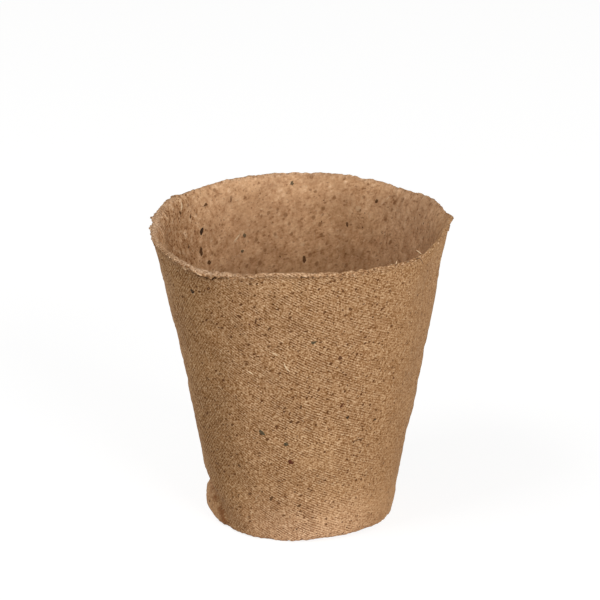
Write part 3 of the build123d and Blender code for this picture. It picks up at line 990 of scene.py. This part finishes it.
grit = cloud(tree, place, GRIT_PITCH, GRIT_DETAIL, GRIT_ROUGHNESS)
colour = tint(tree, ramp(tree, grit, *DUSTY_RAMP), colour, DUSTY_COLOUR)
lay_surface(tree, colour, BARK_ROUGHNESS, BARK_SHINE, grit, BARK_STRENGTH, BARK_RELIEF)
chip_mesh.materials.append(bark)

chips = show(chip_mesh)
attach(chips, "root")
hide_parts("bark_chips")

# Bark crumbs: the finer bits of the same bark, scattered through both faces.
# They are too small for pockets of their own and sit half sunk in the pulp.
CRUMB_SIZE = 0.0005
CRUMB_DEPTH = 0.00015
CRUMB_PROUD = 0.00005
OUTER_CRUMBS, INNER_CRUMBS = 380, 120
CRUMB_TONES = (0.6, 2.1)

# How bits are scattered: lowest and highest share of HEIGHT, shortest length and
# how much more the longest has, the power that makes small ones commonest, and
# the narrowest and widest in shares of the length
LOWEST_BIT, HIGHEST_BIT = 0.03, 0.955
SHORTEST_BIT, LONGEST_HAS_MORE = 0.5, 0.9
SMALL_ONES_MOST = 2.2
NARROWEST_BIT, WIDEST_BIT = 0.25, 0.75


def scattered(count, seed):
    """Random rows of a flake table: anywhere on the wall, of any tilt, small ones most.

    Heights go by the root of an even draw, because the wall widens upward.
    """
    draw = np.random.default_rng(seed)
    bearings = draw.uniform(-180, 180, count)
    heights = np.sqrt(draw.uniform(LOWEST_BIT**2, HIGHEST_BIT**2, count))
    lengths = SHORTEST_BIT + LONGEST_HAS_MORE * draw.uniform(0, 1, count) ** SMALL_ONES_MOST
    widths = lengths * draw.uniform(NARROWEST_BIT, WIDEST_BIT, count)
    tilts = draw.uniform(0, 180, count)
    return np.stack([bearings, heights, lengths, widths, tilts], -1)


RINGS, SPOKES = 3, 7
crumb_sizes = (CRUMB_SIZE, CRUMB_DEPTH, CRUMB_PROUD, RINGS, SPOKES)
crumb_mesh = capped_rings(
    "bark_crumbs",
    flakes(1, scattered(OUTER_CRUMBS, 41), *crumb_sizes, 43),
    flakes(-1, scattered(INNER_CRUMBS, 42), *crumb_sizes, 44),
)
tones = np.random.default_rng(45).uniform(*CRUMB_TONES, OUTER_CRUMBS + INNER_CRUMBS)
carry_each(crumb_mesh, "tone", tones)
crumb_mesh.materials.append(bark)
crumbs = show(crumb_mesh)
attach(crumbs, "root")

# Lip crumbs: small lumps of pulp that the tearing of the lip left standing on
# its edge and just under it. They are the same pulp, still stuck fast.
LIP_CRUMBS = 520
LIP_CRUMB_SIZE = 0.0003
LIP_CRUMB_DROP = 0.0011

# How they crowd round the lip: everywhere, and by bearing, half width and share
FEWEST_LIP_CRUMBS = 0.3
LIP_CRUMB_SHARES = ((-76, 14, 1.6), (-45, 32, 1.2), (176, 26, 1.4), (150, 16, 1.2), (-135, 34, 1.2))

# Least and most size, how far each strays from round, and how long it is along
# the lip, how high and how thick, in shares of its radius
LIP_CRUMB_SIZES = (0.5, 1.3)
LIP_CRUMB_STRAY = 0.33
LIP_CRUMB_LONG, LIP_CRUMB_HIGH, LIP_CRUMB_THICK = 1.4, 0.8, 0.7


def crumbled_lip(size, count, spokes, seed):
    """Uneven balls stuck along the torn lip, as bodies by rings by spokes.

    Bearings are drawn by the table's shares. Each ball sits on the torn top, or
    a little way down the outside, more often near the top. It is a sphere drawn
    out along the lip, whose radius strays at every point.
    """
    draw = np.random.default_rng(seed)
    round_the_lip = np.arange(360.0)
    crowd = FEWEST_LIP_CRUMBS + swell(round_the_lip, LIP_CRUMB_SHARES)
    bearings = draw.choice(round_the_lip, LIP_CRUMBS, p=crowd / crowd.sum())
    bearings = bearings + draw.uniform(0, 1, LIP_CRUMBS)
    drop = LIP_CRUMB_DROP * draw.uniform(0, 1, LIP_CRUMBS) ** 2
    heights = torn_edge(bearings) - drop
    outer, inner = outer_skin(bearings, heights), inner_skin(bearings, heights)
    inward = draw.uniform(0, 1, LIP_CRUMBS) * (drop < size / 2)
    middles = (outer + (inner - outer) * inward[:, None])[:, None, None]
    polar = np.linspace(0, np.pi, count + 2)[None, :, None]
    spoke = spoke_turns(spokes)
    radius = size * draw.uniform(*LIP_CRUMB_SIZES, (LIP_CRUMBS, 1, 1))
    stray = LIP_CRUMB_STRAY * draw.uniform(-1, 1, (LIP_CRUMBS, count + 2, spokes))
    radius = radius * (1 + stray * np.sin(polar))
    along = (LIP_CRUMB_LONG * radius * np.sin(polar) * np.cos(spoke))[..., None]
    rise = (LIP_CRUMB_HIGH * radius * np.sin(polar) * np.sin(spoke))[..., None]
    out = (LIP_CRUMB_THICK * radius * np.cos(polar))[..., None]
    way_round, way_out = outward(bearings + 90)[:, None, None], outward(bearings)[:, None, None]
    return middles + way_round * along + way_out * out + np.array([0, 0, 1.0]) * rise


RINGS, SPOKES = 3, 6
lip_crumb_mesh = capped_rings("lip_crumbs", crumbled_lip(LIP_CRUMB_SIZE, RINGS, SPOKES, 71))
paleness = np.random.default_rng(72).uniform(0, 1, LIP_CRUMBS)
carry_each(lip_crumb_mesh, "paleness", paleness)

# Each crumb has its own paleness, which its grain raises and lowers
CRUMB_GRAIN = 0.9
CRUMB_COLOURS = (
    (0.0, (0.2, 0.09, 0.032)),
    (0.35, (0.38, 0.205, 0.095)),
    (0.7, (0.52, 0.31, 0.165)),
    (1.0, (0.74, 0.51, 0.32)),
)
CRUMB_STRENGTH, CRUMB_RELIEF = 1.0, 0.0001
crumbled, tree = new_finish("crumbled_pulp")
place = lay(tree, "TexCoord").outputs["Object"]
pale = lay(tree, "Attribute", attribute_name="paleness").outputs["Fac"]
grain = cloud(tree, place, GRAIN_PITCH, rough=GRAIN_ROUGHNESS)
colour = shades(tree, swing(tree, grain, CRUMB_GRAIN, pale), CRUMB_COLOURS)
lay_surface(tree, colour, PULP_ROUGHNESS, PULP_SHINE, grain, CRUMB_STRENGTH, CRUMB_RELIEF)
lip_crumb_mesh.materials.append(crumbled)

torn_crumbs = show(lip_crumb_mesh)
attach(torn_crumbs, "root")

# Straws: pale split stalks caught in the pulp, flat on the wall and slightly
# bent, each in the groove it pressed.
STRAW_LENGTH = 0.0032
STRAW_WIDTH = 0.00042
STRAW_PROUD = 0.00012
STRAW_DEPTH = 0.0002

# Bearing, share of HEIGHT, share of STRAW_LENGTH, share of STRAW_WIDTH, tilt
OUTER_STRAW_SHARES = (
    (-96, 0.668, 1.0, 0.95, -60),
    (-101, 0.715, 0.55, 1.0, -35),
    (-113, 0.64, 0.7, 0.7, -35),
    (30, 0.55, 0.9, 1.0, 60),
)
INNER_STRAW_SHARES = (
    (147.5, 0.974, 0.8, 1.1, 125),
    (119, 0.812, 0.9, 1.0, 143),
    (-80, 0.55, 0.9, 1.0, 40),
)


def stalks(facing, rows, length, width, depth, proud, count, spokes, bend, seed):
    """Thin stalks laid on one face of the wall, as bodies by rings by spokes.

    The middle line is a parabola with a random bend, the section an oval
    whose size is the root of a cosine along the stalk, so both ends taper.
    """
    draw = np.random.default_rng(seed)
    rows = np.array(rows, float)[:, :, None, None]
    along_share = np.linspace(-0.5, 0.5, count + 2)[None, :, None]
    angle = spoke_turns(spokes)
    taper = np.sqrt(np.clip(np.cos(np.pi * along_share), 0, 1))
    lean = draw.uniform(-bend, bend, (len(rows), 1, 1))
    along = length * rows[:, 2] * along_share + 0 * angle
    middle = length * rows[:, 2] * lean * (4 * along_share**2 - 0.5)
    across = middle - width * rows[:, 3] / 2 * taper * np.cos(angle)
    round_part = np.sin(angle)
    thick = np.where(round_part > 0, proud, depth) * round_part * taper + 0 * along
    return lie_on_wall(facing, rows, along, across, thick)


RINGS, SPOKES = 11, 8
STRAW_BEND = 0.1
straw_sizes = (STRAW_LENGTH, STRAW_WIDTH, STRAW_DEPTH, STRAW_PROUD, RINGS, SPOKES, STRAW_BEND)
straw_mesh = capped_rings(
    "straw_strands",
    stalks(1, OUTER_STRAW_SHARES, *straw_sizes, 51),
    stalks(-1, INNER_STRAW_SHARES, *straw_sizes, 52),
)
OUTER_PALENESS, INNER_PALENESS = 0.88, 0.74
straw_counts = (len(OUTER_STRAW_SHARES), len(INNER_STRAW_SHARES))
paleness = np.repeat((OUTER_PALENESS, INNER_PALENESS), straw_counts)
carry_each(straw_mesh, "paleness", paleness)

# Straw runs from brown to pale by its paleness, with darker streaks on pale ones
BROWN_STALK, PALE_STALK = (0.085, 0.034, 0.012), (0.8, 0.6, 0.38)
STALK_STREAK_PITCH = 0.0004
STALK_STREAK_RAMP, STALK_STREAK_COLOUR = (0.4, 0.65, 0.35, 0.0), (0.45, 0.26, 0.12)
STRAW_ROUGHNESS, STRAW_SHINE = 0.65, 0.35
STRAW_STRENGTH, STRAW_RELIEF = 0.5, 0.00005
straw, tree = new_finish("pale_straw")
place = lay(tree, "TexCoord").outputs["Object"]
pale = lay(tree, "Attribute", attribute_name="paleness").outputs["Fac"]
streaks = cloud(tree, place, STALK_STREAK_PITCH)
streaked = sums(tree, "MULTIPLY", ramp(tree, streaks, *STALK_STREAK_RAMP), pale)
colour = tint(tree, pale, BROWN_STALK, PALE_STALK)
colour = tint(tree, streaked, colour, STALK_STREAK_COLOUR)
lay_surface(tree, colour, STRAW_ROUGHNESS, STRAW_SHINE, streaks, STRAW_STRENGTH, STRAW_RELIEF)
straw_mesh.materials.append(straw)

straws = show(straw_mesh)
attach(straws, "root")
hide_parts("straw_fibres")

# Peat fibres: fine roots and shreds of stalk matted into both faces, some
# pale and some brown, no thicker than a hair or two.
FIBRE_LENGTH = 0.0017
FIBRE_WIDTH = 0.00011
FIBRE_PROUD = 0.00004
FIBRE_DEPTH = 0.00008
OUTER_FIBRES, INNER_FIBRES = 420, 420
RINGS, SPOKES = 5, 4
FIBRE_BEND = 0.3
fibre_sizes = (FIBRE_LENGTH, FIBRE_WIDTH, FIBRE_DEPTH, FIBRE_PROUD, RINGS, SPOKES, FIBRE_BEND)
fibre_mesh = capped_rings(
    "peat_fibres",
    stalks(1, scattered(OUTER_FIBRES, 61), *fibre_sizes, 63),
    stalks(-1, scattered(INNER_FIBRES, 62), *fibre_sizes, 64),
)
paleness = np.random.default_rng(65).uniform(0, 1, OUTER_FIBRES + INNER_FIBRES)
carry_each(fibre_mesh, "paleness", paleness)
fibre_mesh.materials.append(straw)
fibres = show(fibre_mesh)
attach(fibres, "root")

# Rim hairs: a few roots and shreds of stalk that came loose when the lip was
# torn. They stand out of it and curl over, rooted between its two skins.
HAIR_LENGTH = 0.0022
HAIR_RADIUS = 0.00013
HAIR_ROOTED = 0.0002

# Bearing, share of HAIR_LENGTH, turn from outward the way bearings run and climb,
# both in degrees, share of its length that it curls back down, and paleness
RIM_HAIR_SHARES = (
    (-36.5, 1.1, -148, 40, 0.0, 0.9),
    (-41, 1.5, 20, 58, 1.25, 0.0),
    (-39, 0.5, -120, 70, 0.5, 0.5),
    (-51.5, 0.7, 60, 68, 0.0, 1.0),
    (-52, 0.5, -150, 40, 0.2, 0.8),
    (-47, 0.7, 60, 40, 0.4, 0.1),
    (-76, 0.3, 90, 60, 0.5, 0.6),
    (171, 0.7, 20, 60, 0.9, 0.8),
    (164, 0.5, -70, 40, 0.7, 0.4),
    (143, 0.4, 170, 50, 0.6, 0.5),
    (20, 0.4, 60, 55, 0.6, 0.6),
    (75, 0.4, -120, 40, 0.8, 0.7),
)


def curled_hairs(length, radius, count, spokes):
    """Hairs rooted in the lip, as bodies by rings by spokes.

    Each climbs straight, less a share of its square, so that it curls over. The
    section is a circle across the straight climb, whose radius is the root of
    half a sine along the hair, so that both ends are pointed.
    """
    bearings, lengths, turns, climbs, curls, _ = (
        np.array(column, float)[:, None, None] for column in zip(*RIM_HAIR_SHARES)
    )
    along = np.linspace(0, 1, count + 2)[None, :, None]
    angle = spoke_turns(spokes)
    thick = radius * np.sqrt(np.clip(np.sin(np.pi * along), 0, 1))
    level, side = outward(bearings + turns), outward(bearings + turns + 90)
    up = np.array([0, 0, 1.0])
    climb = np.radians(climbs)[..., None]
    ahead = level * np.cos(climb) + up * np.sin(climb)
    over = up * np.cos(climb) - level * np.sin(climb)
    edge_height = torn_edge(bearings)
    between = (outer_skin(bearings, edge_height) + inner_skin(bearings, edge_height)) / 2
    root = between - up * HAIR_ROOTED
    run = (length * lengths * along)[..., None]
    line = root + ahead * run - up * curls[..., None] * run * along[..., None]
    ring = thick[..., None] * (over * np.sin(angle)[..., None] + side * np.cos(angle)[..., None])
    return line + ring


RINGS, SPOKES = 14, 6
hair_mesh = capped_rings("rim_hairs", curled_hairs(HAIR_LENGTH, HAIR_RADIUS, RINGS, SPOKES))
carry_each(hair_mesh, "paleness", [row[-1] for row in RIM_HAIR_SHARES])
hair_mesh.materials.append(straw)
loose_hairs = show(hair_mesh)
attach(loose_hairs, "root")

# Ground and light: a white sheet under two soft boxes, a stronger one at the
# front right and a weaker one high on the left, in an evenly lit white room.
# Sheet and room are seen whiter than the light they give.
ROOM_REACH = 3.0
SHEET_COLOUR, SHEET_SEEN_COLOUR = (0.92, 0.92, 0.92), (0.26, 0.26, 0.26)
SHEET_SEEN_GLOW = 0.83
ROOM_COLOUR, ROOM_STRENGTH = (1.0, 0.99, 0.97, 1), 0.28
ROOM_SEEN_COLOUR, ROOM_SEEN_STRENGTH = (1, 1, 1, 1), 1.0
BOX_SIZE = 0.6


def seen_directly(tree):
    """One to the camera and in reflections or through clear things, and nothing to light."""
    seen = lay(tree, "LightPath").outputs
    direct = sums(tree, "MAXIMUM", seen["Is Camera Ray"], seen["Is Glossy Ray"])
    return sums(tree, "MAXIMUM", direct, seen["Is Transmission Ray"])


square = ((-1, -1), (1, -1), (1, 1), (-1, 1))
ground_corners = [(x * ROOM_REACH, y * ROOM_REACH, 0) for x, y in square]
ground_mesh = bpy.data.meshes.new("studio_floor")
ground_mesh.from_pydata(ground_corners, [], [(0, 1, 2, 3)])
sheet, tree = new_finish("studio_sheet")
direct = seen_directly(tree)
matt = lay(tree, "BsdfDiffuse", {"Color": tint(tree, direct, SHEET_COLOUR, SHEET_SEEN_COLOUR)})
glow = lay(tree, "Emission", {"Strength": sums(tree, "MULTIPLY", direct, SHEET_SEEN_GLOW)})
both = lay(tree, "AddShader", {0: matt.outputs[0], 1: glow.outputs[0]})
lay(tree, "OutputMaterial", {"Surface": both.outputs[0]})
ground_mesh.materials.append(sheet)
show(ground_mesh)

world = bpy.data.worlds.new("studio_room")
world.use_nodes = True
bpy.context.scene.world = world
tree = world.node_tree
tree.nodes.clear()
direct = seen_directly(tree)
room_light = lay(tree, "Background", {"Color": ROOM_COLOUR, "Strength": ROOM_STRENGTH})
room_seen = lay(tree, "Background", {"Color": ROOM_SEEN_COLOUR, "Strength": ROOM_SEEN_STRENGTH})
both = lay(tree, "MixShader", {0: direct, 1: room_light.outputs[0], 2: room_seen.outputs[0]})
lay(tree, "OutputWorld", {"Surface": both.outputs[0]})


def soft_box(name, place, watts):
    """Square lamp at a place, turned to the middle of the pot."""
    light = bpy.data.lights.new(name, "AREA")
    light.size = BOX_SIZE
    light.energy = watts
    lamp = bpy.data.objects.new(name, light)
    bpy.context.scene.collection.objects.link(lamp)
    lamp.location = place
    to_pot = Vector((0, 0, HEIGHT / 2)) - Vector(place)
    lamp.rotation_euler = to_pot.to_track_quat("-Z", "Y").to_euler()


soft_box("front_right_box", place=(0.6, -0.8, 0.45), watts=7.8)
soft_box("high_left_box", place=(-0.6, -0.3, 1.0), watts=5.8)

# Camera: a little above the rim, on a long lens of LENS_PIXELS, its focal length
# in pixels. RIM_PIXEL is where the middle of the rim falls in the picture.
CAMERA_AWAY = 0.8
CAMERA_ELEVATION = math.radians(20.7)
CAMERA_ROLL = math.radians(-1.1)
RIM_PIXEL = (297.4, 223.2)
LENS_PIXELS = 3047.6
IMAGE_PIXELS = 600
SENSOR_WIDTH = 36
NEAREST_SEEN = 0.01
camera_data = bpy.data.cameras.new("long_lens")
camera_data.sensor_width = SENSOR_WIDTH
camera_data.lens = SENSOR_WIDTH * LENS_PIXELS / IMAGE_PIXELS
camera_data.clip_start = NEAREST_SEEN
camera = bpy.data.objects.new("long_lens", camera_data)
bpy.context.scene.collection.objects.link(camera)
backward = Vector((0, -math.cos(CAMERA_ELEVATION), math.sin(CAMERA_ELEVATION)))
look_down = math.atan((IMAGE_PIXELS / 2 - RIM_PIXEL[1]) / LENS_PIXELS)
look_right = math.atan((IMAGE_PIXELS / 2 - RIM_PIXEL[0]) / LENS_PIXELS)
aim = (-backward).to_track_quat("-Z", "Y").to_matrix() @ Matrix.Rotation(CAMERA_ROLL, 3, "Z")
aim = aim @ Matrix.Rotation(-look_down, 3, "X") @ Matrix.Rotation(-look_right, 3, "Y")
camera.location = Vector(MOULD_AXIS) + Vector((0, 0, HEIGHT)) + backward * CAMERA_AWAY
camera.rotation_euler = aim.to_euler()
bpy.context.scene.camera = camera
bpy.context.scene.view_settings.view_transform = "Standard"
